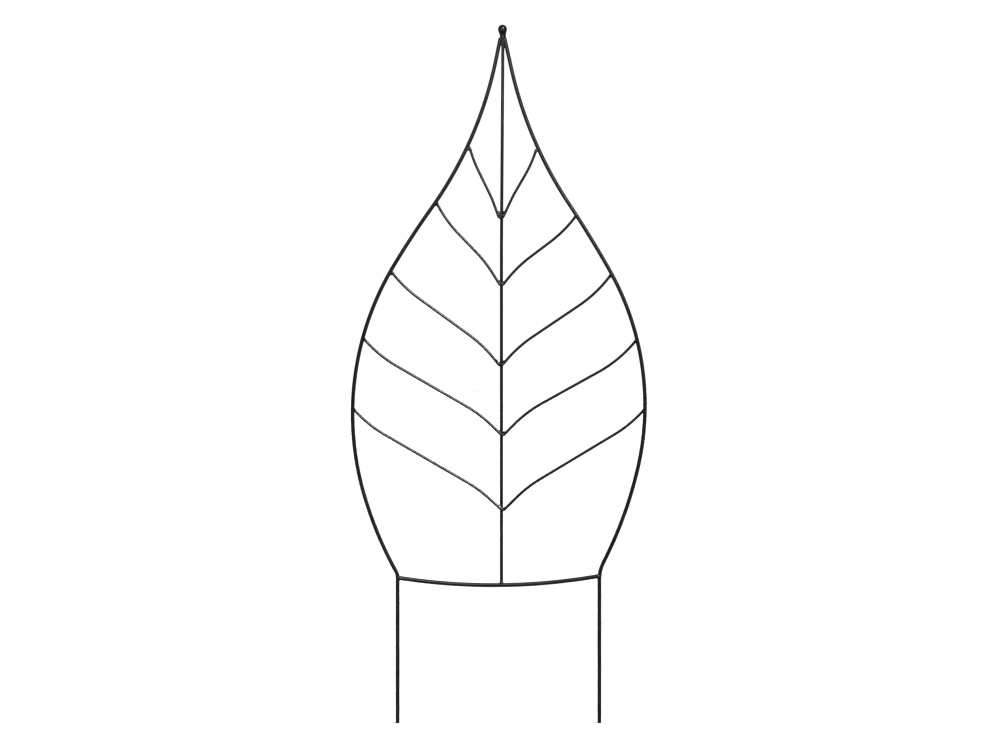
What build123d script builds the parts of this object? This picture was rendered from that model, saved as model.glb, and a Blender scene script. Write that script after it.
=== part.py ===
from build123d import *

import os
from collections import namedtuple
from math import cos, radians, sin, tan

# A leaf-shaped plant support in one upright plane, bent and welded from steel rod. Millimetres.
# +Z is up, +X is to the right and the front faces -Y. The origin is on the soil line, midway
# between the widest points of the leaf, so the legs below the origin are the stakes in the soil.

# ---- Driving dimensions ----

rim_diameter = 6.2
rail_diameter = 6.7
midrib_diameter = 5.0
vein_diameter = 4.2
leg_depth = 230.0  # soil line to the tips of the legs
leg_tip_round = 1.8

# Bends are lists of moves: (length, 0) is a straight run, and (radius, turn) is an arc that turns
# by so many degrees, positive to the left. The moves follow one another without a corner.

left_leg_x = -174.0
left_rim_moves = [
    (238.0, 0.0),  # leg
    (1500.0, 0.5),  # the last of the leg, hardly bent
    (18.0, 28.5),  # lower corner
    (645.0, -13.0),  # flank
    (495.0, -47.0),  # shoulder
    (1500.0, -4.5),
    (670.0, 24.0),  # hollow flare up to the tip
    (38.5, 0.0),
]
right_leg_x = 172.7
right_rim_moves = [
    (247.0, 0.0),
    (64.0, -27.0),
    (710.0, 14.0),
    (475.0, 42.5),
    (1900.0, 4.0),
    (695.0, -21.0),
    (54.0, 0.0),
]
rim_end_round = 2.6

# The base rail is one bow through three points: left corner, lowest point, right corner.
rail_left = (-172.0, 19.5)
rail_low = (-2.0, 7.0)
rail_right = (171.0, 22.5)

midrib_foot = (4.4, 7.0)
midrib_moves = [(560.0, 0.0), (6000.0, -0.4), (346.0, 0.0)]

# The finial is a ball on a neck. Its heights are above the underside of the neck.
finial_foot = (7.1, 946.5)
finial_lean = 3.5
ball_diameter = 15.0
ball_height = 16.0
neck_diameter = 10.0
neck_height = 4.0

# Each vein wire is one V. Its point is where the legs would cross if it were sharp. Every leg is a
# straight foot, a straight run and a hooked end, joined by arcs of one radius, and its slopes are
# degrees below the horizontal: at the foot, along the run and at the rim.
Leg = namedtuple("Leg", "foot foot_slope run run_slope end_slope")
Vein = namedtuple("Vein", "x z left right")
veins = [
    Vein(3.0, 630.0, Leg(33, 70, 41, 64, 75), Leg(41, 65, 31, 60, 72.5)),
    Vein(4.0, 519.0, Leg(29, 58, 42, 46, 64), Leg(15, 52, 42, 37, 54)),
    Vein(3.0, 382.0, Leg(20, 51, 108, 36, 53), Leg(18, 49, 96, 34, 54.5)),
    Vein(6.5, 263.0, Leg(28, 44, 137, 30, 50), Leg(24, 46, 110, 29, 51.5)),
    Vein(7.0, 134.5, Leg(34, 42, 161, 30, 49), Leg(31, 45, 148, 31, 49)),
]
vein_bend_radius = 220.0
vein_point_radius = 5.0
vein_lean = 1.6  # the V leans back, so that its ends reach the plane of the rims
vein_bite = 0.3  # how far a vein wire is sunk into the midrib by its weld

# Weld beads are round lumps, cut back to the rods that they join.
rim_bead_radius = 3.3
rim_bead_setback = 3.7  # from the rim's centre line, along the wire
midrib_bead_radius = 3.3
midrib_bead_lift = 2.2  # above the lowest point of the V
midrib_bead_offset = 2.9  # in front of the midrib's centre line
corner_bead_radius = 4.2
left_corner_bead = (-170.4, 18.4)
right_corner_bead = (169.3, 22.0)
foot_bead_radius = 4.0

# Between the gathered rod ends under the finial, the weld is a thin web on each side of the midrib.
web_thickness = 3.2
left_web = (0.8, 934.0)  # lower outer corner
right_web = (12.6, 930.0)

# ---- Rods and wires ----


def draw_moves(start, direction, moves):
    """Draw the moves end to end from start, and return the last line or arc."""
    for size, turn in moves:
        if turn:
            step = JernArc(start, direction, size, turn)
        else:
            step = PolarLine(start, size, direction=direction)
        start, direction = step @ 1, step % 1
    return step


def sweep_rod(path, diameter):
    """Sweep a round bar along a centre line, inside the current part."""
    wire = path.wires()[0]
    with BuildSketch(Plane(origin=wire @ 0, z_dir=wire % 0)) as section:
        Circle(diameter / 2)
    sweep(section.sketch, path=wire)


def upward(x, z):
    """A start on the front plane and an upward heading, both as vectors in space."""
    return Vector(x, 0, z), Vector(0, 0, 1)


with BuildLine(Plane.XZ) as left_rim_path:
    draw_moves(*upward(left_leg_x, -leg_depth), left_rim_moves)
with BuildLine(Plane.XZ) as right_rim_path:
    draw_moves(*upward(right_leg_x, -leg_depth), right_rim_moves)
with BuildLine(Plane.XZ) as rail_path:
    ThreePointArc(rail_left, rail_low, rail_right)
with BuildLine(Plane.XZ) as midrib_path:
    draw_moves(*upward(*midrib_foot), midrib_moves)

# The bar that the midrib rod is cut from, still with a flat foot inside the rail.
with BuildPart() as midrib_bar:
    sweep_rod(midrib_path, midrib_diameter)

finial_plane = Plane(
    origin=(finial_foot[0], 0, finial_foot[1]),
    x_dir=(cos(radians(finial_lean)), 0, sin(radians(finial_lean))),
    z_dir=(0, -1, 0),
)
with BuildPart() as finial:
    with BuildSketch(finial_plane):
        with BuildLine():
            ball_top = (0, ball_height + ball_diameter / 2)
            equator = (ball_diameter / 2, ball_height)
            neck_top = (neck_diameter / 2, neck_height)
            RadiusArc(ball_top, equator, ball_diameter / 2)
            Spline(equator, neck_top, tangents=[(0, -1), (0, -1)])
            Polyline(neck_top, (neck_diameter / 2, 0), (0, 0), ball_top)
        make_face()
    revolve(axis=Axis(finial_plane.origin, finial_plane.y_dir))
    add(midrib_bar.part, mode=Mode.SUBTRACT)


def make_rim(path):
    """A rim rod with a rounded leg tip, coped at the top around the midrib and the finial."""
    with BuildPart() as rim:
        sweep_rod(path, rim_diameter)
        ends = rim.edges().filter_by(GeomType.CIRCLE).sort_by(Axis.Z)
        fillet(ends[0], leg_tip_round)
        fillet(ends[-1], rim_end_round)
        add(midrib_bar.part, mode=Mode.SUBTRACT)
        add(finial.part, mode=Mode.SUBTRACT)
    return rim


left_rim_rod = make_rim(left_rim_path)
right_rim_rod = make_rim(right_rim_path)
rims = [left_rim_rod, right_rim_rod]

with BuildPart() as base_rail:
    sweep_rod(rail_path, rail_diameter)
    for rim in rims:
        add(rim.part, mode=Mode.SUBTRACT)

with BuildPart() as midrib_rod:
    add(midrib_bar.part)
    add(base_rail.part, mode=Mode.SUBTRACT)

# ---- Vein wires ----


def leg_moves(leg, side, setback):
    """The moves of one leg, from the end of the point's bend up to the rim; side is -1 on the left."""
    return [
        (leg.foot - setback, 0),
        (vein_bend_radius, side * (leg.run_slope - leg.foot_slope)),
        (leg.run, 0),
        (vein_bend_radius, side * (leg.end_slope - leg.run_slope)),
    ]


def draw_vein(vein):
    """The centre line of a V, in a plane that leans back from the front of the midrib."""
    lean = radians(vein_lean)
    front = (midrib_diameter + vein_diameter) / 2 - vein_bite
    plane = Plane(origin=(vein.x, -front, vein.z), x_dir=(1, 0, 0), z_dir=(0, -cos(lean), sin(lean)))
    slope = radians(vein.left.foot_slope)
    turn = vein.left.foot_slope + vein.right.foot_slope
    setback = vein_point_radius * tan(radians(turn / 2))
    with BuildLine(plane) as path:
        start = (-setback * cos(slope), setback * sin(slope))
        point = JernArc(start, (cos(slope), -sin(slope)), vein_point_radius, turn)
        left_end = draw_moves(point @ 0, -(point % 0), leg_moves(vein.left, -1, setback))
        right_end = draw_moves(point @ 1, point % 1, leg_moves(vein.right, 1, setback))
    return path, point, left_end, right_end


vein_lines = [draw_vein(vein) for vein in veins]
vein_wires = []
for path, *_ in vein_lines:
    with BuildPart() as vein_wire:
        sweep_rod(path, vein_diameter)
        for rod in [left_rim_rod, right_rim_rod, midrib_rod]:
            add(rod.part, mode=Mode.SUBTRACT)
    vein_wires.append(vein_wire)

# ---- Welds ----


def make_beads(centres, radius, rods):
    """Round beads at the centres, less the rods that they join."""
    with BuildPart() as beads:
        with Locations(*centres):
            Sphere(radius)
        for rod in rods:
            add(rod.part, mode=Mode.SUBTRACT)
    return beads


def rim_bead_centre(leg_end):
    """A point a little back along the wire from where its leg ends inside the rim."""
    return leg_end @ 1 - (leg_end % 1) * rim_bead_setback


left_ends = [rim_bead_centre(left_end) for _, _, left_end, _ in vein_lines]
right_ends = [rim_bead_centre(right_end) for _, _, _, right_end in vein_lines]
crossings = [
    (midrib_foot[0], -midrib_bead_offset, (point @ 0.5).Z + midrib_bead_lift)
    for _, point, _, _ in vein_lines
]
left_rim_welds = make_beads(left_ends, rim_bead_radius, [left_rim_rod, *vein_wires])
right_rim_welds = make_beads(right_ends, rim_bead_radius, [right_rim_rod, *vein_wires])
midrib_welds = make_beads(crossings, midrib_bead_radius, [midrib_rod, *vein_wires])

corners = [(left_corner_bead[0], 0, left_corner_bead[1]), (right_corner_bead[0], 0, right_corner_bead[1])]
corner_beads = make_beads(corners, corner_bead_radius, [left_rim_rod, right_rim_rod, base_rail])
foot_z = midrib_foot[1] + rail_diameter / 2
foot_bead = make_beads([(midrib_foot[0], 0, foot_z)], foot_bead_radius, [midrib_rod, base_rail])
with BuildPart() as rail_welds:
    add(corner_beads.part)
    add(foot_bead.part)

with BuildPart() as tip_welds:
    for x, z in [left_web, right_web]:
        with BuildSketch(Plane.XZ):
            with Locations(((x + finial_foot[0]) / 2, (z + finial_foot[1]) / 2)):
                Rectangle(abs(x - finial_foot[0]), finial_foot[1] - z)
        extrude(amount=web_thickness / 2, both=True)
    for rod in [left_rim_rod, right_rim_rod, midrib_rod, finial]:
        add(rod.part, mode=Mode.SUBTRACT)

# ---- Hand-in ----

pieces = {
    "left_rim_rod": left_rim_rod,
    "right_rim_rod": right_rim_rod,
    "base_rail": base_rail,
    "midrib_rod": midrib_rod,
    "finial": finial,
    "left_rim_welds": left_rim_welds,
    "right_rim_welds": right_rim_welds,
    "midrib_welds": midrib_welds,
    "rail_welds": rail_welds,
    "tip_welds": tip_welds,
}
for number, vein_wire in enumerate(vein_wires, start=1):
    pieces[f"vein_wire_{number}"] = vein_wire

os.makedirs("parts", exist_ok=True)
for name, piece in pieces.items():
    piece.part.label = name
    export_step(piece.part, f"parts/{name}.step")
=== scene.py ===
from collections import namedtuple
from itertools import product
from math import ceil, copysign, cos, radians, sin, tan

import bpy
import numpy as np
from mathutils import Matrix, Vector


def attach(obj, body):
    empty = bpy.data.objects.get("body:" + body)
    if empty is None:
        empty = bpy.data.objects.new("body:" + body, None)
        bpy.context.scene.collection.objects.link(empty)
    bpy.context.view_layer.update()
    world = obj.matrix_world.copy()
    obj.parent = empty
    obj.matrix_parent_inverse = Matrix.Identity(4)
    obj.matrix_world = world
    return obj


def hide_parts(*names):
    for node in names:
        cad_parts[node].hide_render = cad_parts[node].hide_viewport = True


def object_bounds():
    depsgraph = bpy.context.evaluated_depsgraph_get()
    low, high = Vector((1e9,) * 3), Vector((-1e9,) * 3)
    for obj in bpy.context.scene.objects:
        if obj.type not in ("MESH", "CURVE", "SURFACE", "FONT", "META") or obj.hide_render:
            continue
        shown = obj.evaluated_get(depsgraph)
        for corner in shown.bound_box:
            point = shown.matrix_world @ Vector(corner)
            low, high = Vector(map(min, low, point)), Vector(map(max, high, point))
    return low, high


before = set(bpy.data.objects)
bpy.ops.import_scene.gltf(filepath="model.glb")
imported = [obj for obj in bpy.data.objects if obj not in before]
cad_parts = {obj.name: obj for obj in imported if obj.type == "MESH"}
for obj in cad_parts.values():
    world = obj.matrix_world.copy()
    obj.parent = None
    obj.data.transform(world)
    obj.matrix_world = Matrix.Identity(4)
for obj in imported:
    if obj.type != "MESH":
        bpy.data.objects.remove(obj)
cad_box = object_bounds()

# A leaf-shaped plant support: steel rods bent and welded in one upright plane, powder coated near
# black. Shapes are worked out in millimetres in the frame's axes, and MM takes them to metres.

MM = 0.001
BODY = "root"

# ---- Sizes and bends, the same as the frame's ----

RIM_RADIUS = 3.1
RAIL_RADIUS = 3.35
MIDRIB_RADIUS = 2.5
VEIN_RADIUS = 2.1
LEG_TIP_ROUND = 1.8
RIM_END_ROUND = 2.6

# Moves are (length, 0) for a straight run and (radius, turn) for an arc that turns by so many
# degrees, positive to the left.
LEFT_LEG_TIP = (-174.0, -230.0)
LEFT_RIM_MOVES = [
    (238.0, 0.0),  # leg
    (1500.0, 0.5),  # the last of the leg, hardly bent
    (18.0, 28.5),  # lower corner
    (645.0, -13.0),  # flank
    (495.0, -47.0),  # shoulder
    (1500.0, -4.5),
    (670.0, 24.0),  # hollow flare up to the tip
    (38.5, 0.0),
]
RIGHT_LEG_TIP = (172.7, -230.0)
RIGHT_RIM_MOVES = [
    (247.0, 0.0),
    (64.0, -27.0),
    (710.0, 14.0),
    (475.0, 42.5),
    (1900.0, 4.0),
    (695.0, -21.0),
    (54.0, 0.0),
]
RAIL_POINTS = [(-172.0, 19.5), (-2.0, 7.0), (171.0, 22.5)]  # left corner, lowest point, right corner
MIDRIB_FOOT = (4.4, 7.0)
MIDRIB_MOVES = [(560.0, 0.0), (6000.0, -0.4), (346.0, 0.0)]

# Each vein wire is one V, with its point where its legs would cross if it were sharp. A leg is a
# straight foot, a straight run and a hooked end, with slopes in degrees below the horizontal.
Leg = namedtuple("Leg", "foot foot_slope run run_slope end_slope")
Vein = namedtuple("Vein", "x z left right")
VEINS = [
    Vein(3.0, 630.0, Leg(33, 70, 41, 64, 75), Leg(41, 65, 31, 60, 72.5)),
    Vein(4.0, 519.0, Leg(29, 58, 42, 46, 64), Leg(15, 52, 42, 37, 54)),
    Vein(3.0, 382.0, Leg(20, 51, 108, 36, 53), Leg(18, 49, 96, 34, 54.5)),
    Vein(6.5, 263.0, Leg(28, 44, 137, 30, 50), Leg(24, 46, 110, 29, 51.5)),
    Vein(7.0, 134.5, Leg(34, 42, 161, 30, 49), Leg(31, 45, 148, 31, 49)),
]
VEIN_BEND_RADIUS = 220.0
VEIN_POINT_RADIUS = 5.0
VEIN_LEAN = radians(1.6)  # the V leans back, so that its ends reach the plane of the rims
VEIN_BITE = 0.3  # how far a vein wire is sunk into the midrib by its weld

# ---- Centre lines ----

UP = 90  # the heading of the legs and the midrib, in degrees
ARC_STEP = 4.0  # degrees between points of an arc, at most
POINT_STEP = 5.0  # millimetres between points, at most


def unit(vector):
    return vector / np.linalg.norm(vector)


def draw_moves(start, heading, moves):
    """Points along the moves laid end to end, the start included; headings are in degrees."""
    x, z = start
    points = [start]
    for size, turn in moves:
        if turn:
            side = copysign(1, turn)
            count = ceil(max(abs(turn) / ARC_STEP, size * radians(abs(turn)) / POINT_STEP))
            centre_x = x - side * size * sin(radians(heading))
            centre_z = z + side * size * cos(radians(heading))
            for step in range(1, count + 1):
                angle = radians(heading + turn * step / count)
                points.append((centre_x + side * size * sin(angle), centre_z - side * size * cos(angle)))
            heading += turn
        else:
            count = ceil(size / POINT_STEP)
            for step in range(1, count + 1):
                run = size * step / count
                points.append((x + run * cos(radians(heading)), z + run * sin(radians(heading))))
        x, z = points[-1]
    return points


def upright(points):
    """Points of the XZ plane in space."""
    return np.array([(x, 0, z) for x, z in points])


def arc_through(first, middle, last):
    """Points of the circular arc through three points."""
    (ax, az), (bx, bz), (cx, cz) = first, middle, last
    scale = 2 * (ax * (bz - cz) + bx * (cz - az) + cx * (az - bz))
    a2, b2, c2 = ax**2 + az**2, bx**2 + bz**2, cx**2 + cz**2
    x = (a2 * (bz - cz) + b2 * (cz - az) + c2 * (az - bz)) / scale
    z = (a2 * (cx - bx) + b2 * (ax - cx) + c2 * (bx - ax)) / scale
    radius = np.hypot(ax - x, az - z)
    angles = np.unwrap(np.arctan2([az - z, bz - z, cz - z], [ax - x, bx - x, cx - x]))
    count = ceil(radius * abs(angles[2] - angles[0]) / POINT_STEP)
    return [(x + radius * cos(a), z + radius * sin(a)) for a in np.linspace(angles[0], angles[2], count)]


def leg_moves(leg, side, setback):
    """The moves of one leg, from the bend at the V's point up to the rim; side is -1 on the left."""
    return [
        (leg.foot - setback, 0),
        (VEIN_BEND_RADIUS, side * (leg.run_slope - leg.foot_slope)),
        (leg.run, 0),
        (VEIN_BEND_RADIUS, side * (leg.end_slope - leg.run_slope)),
    ]


def draw_vein(vein):
    """A V's centre line in space, from its left end to its right end."""
    slope = vein.left.foot_slope
    turn = slope + vein.right.foot_slope
    setback = VEIN_POINT_RADIUS * tan(radians(turn / 2))
    start = (-setback * cos(radians(slope)), setback * sin(radians(slope)))
    point = draw_moves(start, -slope, [(VEIN_POINT_RADIUS, turn)])
    left = draw_moves(point[0], 180 - slope, leg_moves(vein.left, -1, setback))
    right = draw_moves(point[-1], vein.right.foot_slope, leg_moves(vein.right, 1, setback))
    front = MIDRIB_RADIUS + VEIN_RADIUS - VEIN_BITE
    flat = left[:0:-1] + point + right[1:]
    return np.array(
        [(vein.x + u, v * sin(VEIN_LEAN) - front, vein.z + v * cos(VEIN_LEAN)) for u, v in flat]
    )


left_rim_line = upright(draw_moves(LEFT_LEG_TIP, UP, LEFT_RIM_MOVES))
right_rim_line = upright(draw_moves(RIGHT_LEG_TIP, UP, RIGHT_RIM_MOVES))
rail_line = upright(arc_through(*RAIL_POINTS))
midrib_line = upright(draw_moves(MIDRIB_FOOT, UP, MIDRIB_MOVES))
vein_lines = [draw_vein(vein) for vein in VEINS]

# ---- Materials ----

# Two colours and two roughnesses of the coat, and the parts of the patches' noise between them.
COAT_COLOURS = [(0.009, 0.0102, 0.0101, 1), (0.019, 0.0210, 0.0200, 1)]
COLOUR_SPAN = (0.3, 0.72)
COAT_ROUGHNESS = (0.27, 0.36)
ROUGHNESS_SPAN = (0.3, 0.7)
COAT_SPECULAR = 0.45
PATCHES = {"Scale": 45, "Detail": 4, "Roughness": 0.6}
ORANGE_PEEL = {"Scale": 900, "Detail": 2, "Roughness": 0.5}
GRAIN = {"Scale": 3500, "Detail": 2, "Roughness": 0.6}
PEEL_BUMP = {"Strength": 0.3, "Distance": 0.0001}
GRAIN_BUMP = {"Strength": 0.2, "Distance": 0.00005}


def add_node(tree, kind, values):
    """A new node with constants on its sockets."""
    node = tree.nodes.new(kind)
    for socket, value in values.items():
        node.inputs[socket].default_value = value
    return node


def add_ramp(tree, source, positions, colours):
    """A ramp from one colour to another, driven by a source."""
    ramp = tree.nodes.new("ShaderNodeValToRGB")
    for stop, position, colour in zip(ramp.color_ramp.elements, positions, colours):
        stop.position = position
        stop.color = colour
    tree.links.new(source, ramp.inputs["Fac"])
    return ramp.outputs["Color"]


def make_powder_coat():
    """Near-black satin powder coat: slightly uneven in colour and gloss, with a fine orange peel."""
    material = bpy.data.materials.new("powder_coat_satin")
    material.use_nodes = True
    tree = material.node_tree
    shader = tree.nodes["Principled BSDF"]
    place = tree.nodes.new("ShaderNodeTexCoord").outputs["Object"]

    def noise(values):
        node = add_node(tree, "ShaderNodeTexNoise", values)
        tree.links.new(place, node.inputs["Vector"])
        return node.outputs["Fac"]

    patches = noise(PATCHES)
    tint = add_ramp(tree, patches, COLOUR_SPAN, COAT_COLOURS)
    tree.links.new(tint, shader.inputs["Base Color"])

    low, high = COAT_ROUGHNESS
    start, stop = ROUGHNESS_SPAN
    span = {"From Min": start, "From Max": stop, "To Min": low, "To Max": high}
    gloss = add_node(tree, "ShaderNodeMapRange", span)
    tree.links.new(patches, gloss.inputs["Value"])
    tree.links.new(gloss.outputs["Result"], shader.inputs["Roughness"])

    fine = add_node(tree, "ShaderNodeBump", GRAIN_BUMP)
    tree.links.new(noise(GRAIN), fine.inputs["Height"])
    coarse = add_node(tree, "ShaderNodeBump", PEEL_BUMP)
    tree.links.new(noise(ORANGE_PEEL), coarse.inputs["Height"])
    tree.links.new(fine.outputs["Normal"], coarse.inputs["Normal"])
    tree.links.new(coarse.outputs["Normal"], shader.inputs["Normal"])

    shader.inputs["Specular IOR Level"].default_value = COAT_SPECULAR
    return material


powder_coat = make_powder_coat()

# ---- Meshes ----


def make_piece(name, points, faces, node):
    """A smooth piece in metres that stands for a node and rides with the object."""
    mesh = bpy.data.meshes.new(name)
    mesh.from_pydata((np.asarray(points) * MM).tolist(), [], faces)
    mesh.polygons.foreach_set("use_smooth", [True] * len(mesh.polygons))
    mesh.update()
    piece = bpy.data.objects.new(name, mesh)
    bpy.context.scene.collection.objects.link(piece)
    piece.data.materials.append(powder_coat)
    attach(piece, BODY)
    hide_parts(node)
    return piece


ROD_SIDES = 24
VEIN_SIDES = 20
CUT_ROUND = 0.3  # on the ends that are inside other rods
END_STEPS = 5
CAP_SHARE = 0.5  # radius of the ring inside a rounded end's flat, as a share of the flat
STRAIGHT = 1.0  # bent less than this, a rod is taken to be straight (square millimetres)


def rounded_end(tip, outward, radius, rounding):
    """Rings (centre, radius) from where a rounded end starts to the middle of its flat."""
    rings = []
    for step in range(END_STEPS + 1):
        angle = radians(90 * step / END_STEPS)
        centre = tip - outward * rounding * (1 - sin(angle))
        rings.append((centre, radius - rounding * (1 - cos(angle))))
    rings.append((tip, (radius - rounding) * CAP_SHARE))
    return rings


def make_rod(name, line, radius, node, start_round=CUT_ROUND, end_round=CUT_ROUND, sides=ROD_SIDES):
    """A round bar along a line that lies in one plane, with rounded ends."""
    headings = np.gradient(line, axis=0)
    headings /= np.linalg.norm(headings, axis=1)[:, None]
    across = np.cross(line[-1] - line[0], line[len(line) // 2] - line[0])
    across = unit(across) if np.linalg.norm(across) > STRAIGHT else np.array([0, 1.0, 0])
    first, last = unit(line[1] - line[0]), unit(line[-1] - line[-2])
    rings = [(c, r, first) for c, r in rounded_end(line[0], -first, radius, start_round)[::-1]]
    rings += [(c, radius, h) for c, h in zip(line[1:-1], headings[1:-1])]
    rings += [(c, r, last) for c, r in rounded_end(line[-1], last, radius, end_round)]
    turns = np.linspace(0, 2 * np.pi, sides, endpoint=False)
    points = []
    for centre, size, heading in rings:
        side = np.cross(across, heading)
        points += [centre + size * (cos(t) * side + sin(t) * across) for t in turns]
    faces = [tuple(range(sides))[::-1]]
    for low in range(0, len(points) - sides, sides):
        high = low + sides
        for i in range(sides):
            j = (i + 1) % sides
            faces.append((low + i, low + j, high + j, high + i))
    faces.append(tuple(range(len(points) - sides, len(points))))
    return make_piece(name, points, faces, node)


# ---- Welds ----
# A weld is drawn where rods and lumps run together: the smooth union of their distance fields,
# sunk a little so that it goes under the rods where nothing is added to them.

WELD_STEP = 0.45  # between points of the grid
WELD_SINK = 0.13
END_BLEND = 1.0  # rounds the edge where a weld's piece stops, under the rods
TOUCH_ROUNDS = 4
JUST_INSIDE = -0.001
FAR = 1000.0
RIPPLE = 0.15  # how far the weld metal rises and falls
Rod = namedtuple("Rod", "line radius")
Weld = namedtuple("Weld", "centre reach rods lumps blend")


def rod_distance(grid, rod, centre, reach):
    """Distance from grid points to the surface of the stretch of rod near the centre."""
    near = np.linalg.norm(rod.line - centre, axis=1) < reach + 2 * POINT_STEP
    near[:-1] |= near[1:]
    found = np.full(grid.shape[:-1], FAR)
    for i in np.flatnonzero(near[:-1] & near[1:]):
        start, run = rod.line[i], rod.line[i + 1] - rod.line[i]
        along = np.clip((grid - start) @ run / (run @ run), 0, 1)
        found = np.minimum(found, np.linalg.norm(grid - start - along[..., None] * run, axis=-1))
    return found - rod.radius


def smooth_min(a, b, blend):
    """The lower of two fields, with a fillet where they differ by less than the blend."""
    near = np.maximum(blend - abs(a - b), 0) / blend
    return np.minimum(a, b) - near**2 * blend / 4


def close_touches(field):
    """Join inside points that touch diagonally, so that no edge of the surface has four faces."""
    for axis in [0, 1, 2] * TOUCH_ROUNDS:
        turned = np.moveaxis(field, axis, 0)
        a, b = turned[:, :-1, :-1], turned[:, 1:, 1:]
        c, d = turned[:, 1:, :-1], turned[:, :-1, 1:]
        c[(a < 0) & (b < 0) & (c >= 0) & (d >= 0)] = JUST_INSIDE
        a[(c < 0) & (d < 0) & (a >= 0) & (b >= 0)] = JUST_INSIDE


def net_surface(field, corner, step):
    """A closed mesh of the surface where a field on a grid changes sign, with one point per cell."""
    size = np.array(field.shape) - 1
    total, hits = np.zeros((*size, 3)), np.zeros(tuple(size))
    for low in product((0, 1), repeat=3):
        for axis in range(3):
            if low[axis]:
                continue
            high = tuple(1 if i == axis else v for i, v in enumerate(low))
            a = field[tuple(slice(v, v + n) for v, n in zip(low, size))]
            b = field[tuple(slice(v, v + n) for v, n in zip(high, size))]
            cut = (a < 0) != (b < 0)
            share = np.where(cut, a / np.where(cut, a - b, 1), 0)
            for i in range(3):
                total[..., i] += cut * (low[i] + (share if i == axis else 0))
            hits += cut
    cells = np.argwhere(hits > 0)
    numbers = np.full(tuple(size), -1)
    numbers[tuple(cells.T)] = np.arange(len(cells))
    points = corner + step * (cells + total[tuple(cells.T)] / hits[tuple(cells.T)][:, None])
    faces = []
    for axis in range(3):
        turned = np.moveaxis(field, axis, 0)
        ids = np.moveaxis(numbers, axis, 0)
        low, high = turned[:-1, 1:-1, 1:-1] < 0, turned[1:, 1:-1, 1:-1] < 0
        around = [ids[:, :-1, :-1], ids[:, 1:, :-1], ids[:, 1:, 1:], ids[:, :-1, 1:]]
        quads = np.stack(around, axis=-1)
        outward = low & ~high
        inward = high & ~low
        # With axis 1 moved to the front the cells run round the other way, so it has its own order.
        order = [0, 1, 2, 3] if axis != 1 else [3, 2, 1, 0]
        faces += quads[outward][:, order].tolist()
        faces += quads[inward][:, order[::-1]].tolist()
    return points, faces


def ripple(grid):
    """A slow unevenness of weld metal, from -1 to 1."""
    x, y, z = np.moveaxis(grid, -1, 0)
    return np.sin(1.7 * x + 0.6 * z) * np.sin(1.3 * y + 2.1) * np.sin(1.9 * z - 0.8 * x + 0.7)


def lump(centre, radius):
    """The field of a round, slightly uneven lump of weld metal."""
    return lambda grid: np.linalg.norm(grid - centre, axis=-1) - radius + RIPPLE * ripple(grid)


def web(low, high, thickness, rounding):
    """The field of an upright plate from its low corner to its high corner, both (x, z)."""
    middle = np.array([(low[0] + high[0]) / 2, 0, (low[1] + high[1]) / 2])
    half = np.array([(high[0] - low[0]) / 2, thickness / 2, (high[1] - low[1]) / 2]) - rounding

    def field(grid):
        beyond = abs(grid - middle) - half
        outside = np.linalg.norm(np.maximum(beyond, 0), axis=-1)
        return outside + np.minimum(beyond.max(axis=-1), 0) - rounding + RIPPLE * ripple(grid)

    return field


def weld_surface(weld):
    """The points and faces of one weld, cut off at its reach."""
    reach = weld.reach
    count = 2 * ceil((reach + WELD_STEP) / WELD_STEP) + 1
    corner = np.array(weld.centre) - WELD_STEP * (count - 1) / 2
    steps = WELD_STEP * np.arange(count)
    grid = corner + np.stack(np.meshgrid(steps, steps, steps, indexing="ij"), axis=-1)
    fields = [rod_distance(grid, rod, weld.centre, reach) for rod in weld.rods]
    fields += [field(grid) for field in weld.lumps]
    union = fields[0]
    for field in fields[1:]:
        union = smooth_min(union, field, weld.blend)
    inside = np.linalg.norm(grid - weld.centre, axis=-1) - reach
    whole = -smooth_min(-union - WELD_SINK, -inside, END_BLEND)
    close_touches(whole)
    return net_surface(whole, corner, WELD_STEP)


def make_welds(name, welds, node):
    """One piece of several separate welds."""
    points, faces = [], []
    for weld in welds:
        found, quads = weld_surface(weld)
        faces += [tuple(i + len(points) for i in quad) for quad in quads]
        points += found.tolist()
    return make_piece(name, points, faces, node)


# ---- Pieces ----

left_rim = Rod(left_rim_line, RIM_RADIUS)
right_rim = Rod(right_rim_line, RIM_RADIUS)
rail = Rod(rail_line, RAIL_RADIUS)
midrib = Rod(midrib_line, MIDRIB_RADIUS)
veins = [Rod(line, VEIN_RADIUS) for line in vein_lines]

make_rod("left_rim", left_rim_line, RIM_RADIUS, "left_rim_rod", LEG_TIP_ROUND, RIM_END_ROUND)
make_rod("right_rim", right_rim_line, RIM_RADIUS, "right_rim_rod", LEG_TIP_ROUND, RIM_END_ROUND)
make_rod("rail", rail_line, RAIL_RADIUS, "base_rail")
make_rod("midrib", midrib_line, MIDRIB_RADIUS, "midrib_rod")
for number, line in enumerate(vein_lines, start=1):
    make_rod(f"vein_{number}", line, VEIN_RADIUS, f"vein_wire_{number}", sides=VEIN_SIDES)

RIM_BEAD_SETBACK = 3.4  # from the end of the wire, along the wire
RIM_BEAD_RADIUS = 2.25
RIM_WELD_REACH = 12.0
RIM_WELD_BLEND = 1.5

# Weld metal in the crotch below each joint, from the top vein down: how far below the place where
# wire and rim part it sits, and its radius.
LEFT_FILLS = [(3.4, 2.2), (2.4, 1.9), (2.2, 1.8), (0.6, 1.3), (0.4, 1.2)]
RIGHT_FILLS = [(0.8, 1.3), (0.6, 1.3), (1.4, 1.5), (0.5, 1.2), (0.4, 1.1)]


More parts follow.
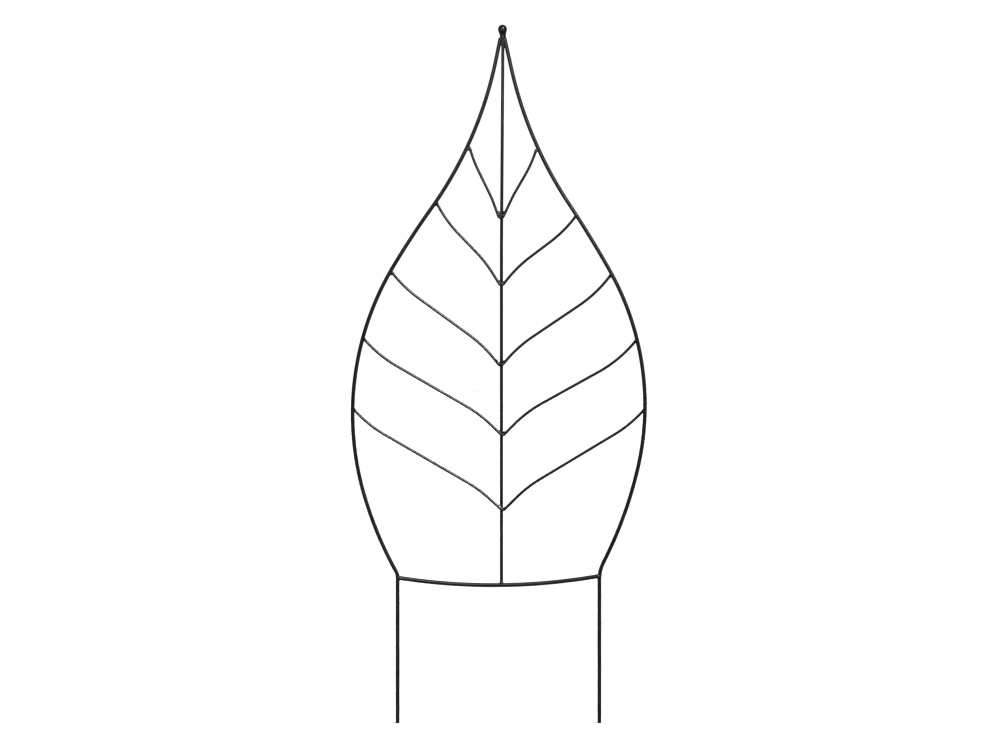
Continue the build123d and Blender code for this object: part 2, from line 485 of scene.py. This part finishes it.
def rim_weld(line, rim, fill):
    """The weld where a vein wire, drawn towards its end, butts on a rim."""
    end = line[-1]
    back = unit(line[-2] - end)
    near = np.argmin(np.linalg.norm(rim.line - end, axis=1))
    down = unit(rim.line[near - 1] - rim.line[near + 1])
    spread = np.linalg.norm(np.cross(back, down))
    short = np.linalg.norm(np.cross(end - rim.line[near], down)) / spread
    crossing = end - back * short
    parting = crossing + (VEIN_RADIUS * down + rim.radius * back) / spread
    bisector = unit(back + down)
    depth, radius = fill
    bead = end + back * RIM_BEAD_SETBACK
    lumps = [lump(bead, RIM_BEAD_RADIUS), lump(parting + bisector * (depth - radius / 2), radius)]
    return Weld(bead, RIM_WELD_REACH, [rim, Rod(line, VEIN_RADIUS)], lumps, RIM_WELD_BLEND)


def rim_welds(lines, rim, fills):
    """The welds of all the vein wires on one rim."""
    return [rim_weld(line, rim, fill) for line, fill in zip(lines, fills)]


left_ends = [line[::-1] for line in vein_lines]
make_welds("left_welds", rim_welds(left_ends, left_rim, LEFT_FILLS), "left_rim_welds")
make_welds("right_welds", rim_welds(vein_lines, right_rim, RIGHT_FILLS), "right_rim_welds")

# Weld metal at each crossing of the midrib, from the top vein down: how far it lies to the right of
# the midrib, in front of it and above the lowest point of the V, and its radius.
SPATTER = [(-8.2, 5.8, 7.4, 1.0), (-9.6, 5.9, 9.2, 0.9), (-7.2, 6.1, 8.8, 0.8)]  # on the third wire
CROSSING_LUMPS = [
    [
        (-4.4, 3.2, 9.8, 1.8),
        (-3.2, 3.4, 7.0, 2.2),
        (3.7, 3.2, 9.7, 1.9),
        (4.2, 3.4, 6.0, 2.2),
        (0.0, 4.0, 0.4, 2.7),
    ],
    [(-3.6, 3.0, 6.0, 2.2), (-1.6, 3.4, 2.6, 2.4), (4.2, 3.0, 4.4, 2.1), (0.4, 3.9, 2.2, 2.7)],
    [(3.9, 3.0, 6.2, 2.2), (-3.2, 3.0, 3.6, 2.0), (-2.2, 3.5, 1.8, 2.4), (0.6, 3.9, 1.8, 2.7), *SPATTER],
    [(-4.6, 3.0, 5.8, 2.5), (-2.2, 3.4, 4.6, 2.5), (4.6, 3.0, 4.4, 2.1), (0.6, 3.9, 1.0, 2.7)],
    [(-3.0, 3.0, 6.6, 2.5), (-1.0, 3.6, 3.4, 2.5), (4.8, 3.0, 2.6, 1.9), (0.6, 3.9, 1.2, 2.8)],
]
# A long bead is its line, from the same place of the midrib, and its radius.
TOP_BEAD = ([(-6.2, -4.4, 5.6), (0.6, -5.0, 3.6)], 2.2)  # laid across the point of the top V
CROSSING_BEADS = [[TOP_BEAD], [], [], [], []]
CROSSING_REACH = 13.3
CROSSING_RISE = 2  # of the middle of the weld, above the lowest point of the V
CROSSING_BLEND = 1.7


def crossing_weld(wire, places, beads):
    """The weld where a V lies across the front of the midrib."""
    lowest = wire.line[np.argmin(wire.line[:, 2])]
    middle = np.interp(lowest[2], midrib.line[:, 2], midrib.line[:, 0])
    lumps = [lump(np.array([middle + x, -front, lowest[2] + z]), r) for x, front, z, r in places]
    centre = np.array([middle, lowest[1], lowest[2] + CROSSING_RISE])
    origin = np.array([middle, 0, lowest[2]])
    rods = [midrib, wire] + [Rod(origin + np.array(line), radius) for line, radius in beads]
    return Weld(centre, CROSSING_REACH, rods, lumps, CROSSING_BLEND)


crossings = zip(veins, CROSSING_LUMPS, CROSSING_BEADS)
make_welds("crossing_welds", [crossing_weld(*crossing) for crossing in crossings], "midrib_welds")

# The two ends of the rail and the foot of the midrib, each with one lump.
CORNER_REACH = 12.0
CORNER_BLEND = 1.0
LEFT_CORNER = np.array([-170.8, 0, 18.8])
LEFT_CORNER_RADIUS = 3.8
RIGHT_CORNER = np.array([169.9, 0, 21.8])
RIGHT_CORNER_RADIUS = 3.6
FOOT = np.array([MIDRIB_FOOT[0], 0, MIDRIB_FOOT[1] + RAIL_RADIUS])
FOOT_RADIUS = 3.3


def rail_weld(rod, centre, radius):
    """The weld where the rail and another rod butt."""
    return Weld(centre, CORNER_REACH, [rod, rail], [lump(centre, radius)], CORNER_BLEND)


corner_welds = [
    rail_weld(left_rim, LEFT_CORNER, LEFT_CORNER_RADIUS),
    rail_weld(right_rim, RIGHT_CORNER, RIGHT_CORNER_RADIUS),
    rail_weld(midrib, FOOT, FOOT_RADIUS),
]
make_welds("corner_welds", corner_welds, "rail_welds")

# The rod ends gathered under the finial, with a web of weld metal on each side of the midrib. A web
# is its low corner, its high corner, its thickness and the rounding of its edges.
TIP_CENTRE = np.array([6.6, 0, 940.0])
TIP_REACH = 15.0
TIP_BLEND = 0.9
LEFT_WEB = ((2.6, 933.6), (7.1, 943.5), 2.4, 0.9)
RIGHT_WEB = ((7.1, 929.8), (11.6, 944.0), 3.0, 1.2)

# The rims' last points are left out, so that the round ends of their fields stay inside the rods.
ends = [Rod(line[:-1], RIM_RADIUS) for line in (left_rim_line, right_rim_line)]
tip = Weld(TIP_CENTRE, TIP_REACH, [*ends, midrib], [web(*LEFT_WEB), web(*RIGHT_WEB)], TIP_BLEND)
make_welds("tip_weld", [tip], "tip_welds")

# The finial is the frame's own, with the coat put on it.
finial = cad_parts["finial"]
finial.data.materials.clear()
finial.data.materials.append(powder_coat)

# ---- Stage ----

FLOOR_SIZE = 400.0  # metres
PAPER = {"Base Color": (0.49, 0.49, 0.49, 1), "Roughness": 0.9, "Specular IOR Level": 0.0}

floor_mesh = bpy.data.meshes.new("floor")
half = FLOOR_SIZE / 2
floor_corners = [(-half, -half, 0), (half, -half, 0), (half, half, 0), (-half, half, 0)]
floor_mesh.from_pydata(floor_corners, [], [(0, 1, 2, 3)])
floor = bpy.data.objects.new("floor", floor_mesh)
floor.location = (0, 0, cad_box[0].z)
bpy.context.scene.collection.objects.link(floor)
paper = bpy.data.materials.new("paper")
paper.use_nodes = True
for socket, value in PAPER.items():
    paper.node_tree.nodes["Principled BSDF"].inputs[socket].default_value = value
floor.data.materials.append(paper)

# The room is white from beside the object on to behind it, and dim behind the camera.
ROOM_SPAN = (0.05, 0.44)  # shares of the way from straight in front of the object to straight behind
ROOM_COLOURS = [(0.22, 0.22, 0.22, 1), (1.04, 1.04, 1.04, 1)]

world = bpy.data.worlds.new("studio")
bpy.context.scene.world = world
world.use_nodes = True
tree = world.node_tree
background = tree.nodes["Background"]
background.inputs["Strength"].default_value = 1.0
toward = tree.nodes.new("ShaderNodeTexCoord").outputs["Generated"]
split = tree.nodes.new("ShaderNodeSeparateXYZ")
tree.links.new(toward, split.inputs["Vector"])
depth = add_node(tree, "ShaderNodeMapRange", {"From Min": -1.0})
tree.links.new(split.outputs["Y"], depth.inputs["Value"])
room = add_ramp(tree, depth.outputs["Result"], ROOM_SPAN, ROOM_COLOURS)
tree.links.new(room, background.inputs["Color"])

# In metres and degrees. The key's strength is in watts per square metre, the softbox's in watts.
KEY_TOWARD = (0.30, -0.80, 0.52)
KEY_STRENGTH = 8.4
KEY_SPREAD = 24
SOFTBOX_SIZE = (1.6, 0.3)
SOFTBOX_POWER = 9.0
SOFTBOX_PLACE = (-0.1, -0.9, 0.99)
SOFTBOX_TARGET = (0.0, 0.0, 0.95)

key = bpy.data.lights.new("key", "SUN")
key.energy = KEY_STRENGTH
key.angle = radians(KEY_SPREAD)
key_lamp = bpy.data.objects.new("key", key)
key_lamp.rotation_mode = "QUATERNION"
key_lamp.rotation_quaternion = Vector(KEY_TOWARD).to_track_quat("Z", "Y")
bpy.context.scene.collection.objects.link(key_lamp)

softbox = bpy.data.lights.new("softbox", "AREA")
softbox.shape = "RECTANGLE"
softbox.size, softbox.size_y = SOFTBOX_SIZE
softbox.energy = SOFTBOX_POWER
softbox_lamp = bpy.data.objects.new("softbox", softbox)
softbox_lamp.location = SOFTBOX_PLACE
aim = Vector(SOFTBOX_TARGET) - softbox_lamp.location
softbox_lamp.rotation_euler = aim.to_track_quat("-Z", "Y").to_euler()
softbox_lamp.visible_camera = False
bpy.context.scene.collection.objects.link(softbox_lamp)

# ---- Camera ----

VIEW_WIDTH = 1.7183  # metres across the picture, at the object
CAMERA_DISTANCE = 10.0
VIEW_CENTRE = (0.0019, 0.0, 0.36805)
CLIP_END = FLOOR_SIZE
PICTURE_GAMMA = 0.55  # gives the thin rods their full line weight against the white

camera = bpy.data.objects.new("camera", bpy.data.cameras.new("camera"))
camera.location = (VIEW_CENTRE[0], -CAMERA_DISTANCE, VIEW_CENTRE[2])
camera.rotation_euler = (radians(90), 0, 0)  # level, towards +Y
camera.data.lens = camera.data.sensor_width * CAMERA_DISTANCE / VIEW_WIDTH
camera.data.clip_end = CLIP_END
bpy.context.scene.collection.objects.link(camera)
bpy.context.scene.camera = camera
bpy.context.scene.view_settings.view_transform = "Standard"
bpy.context.scene.view_settings.gamma = PICTURE_GAMMA
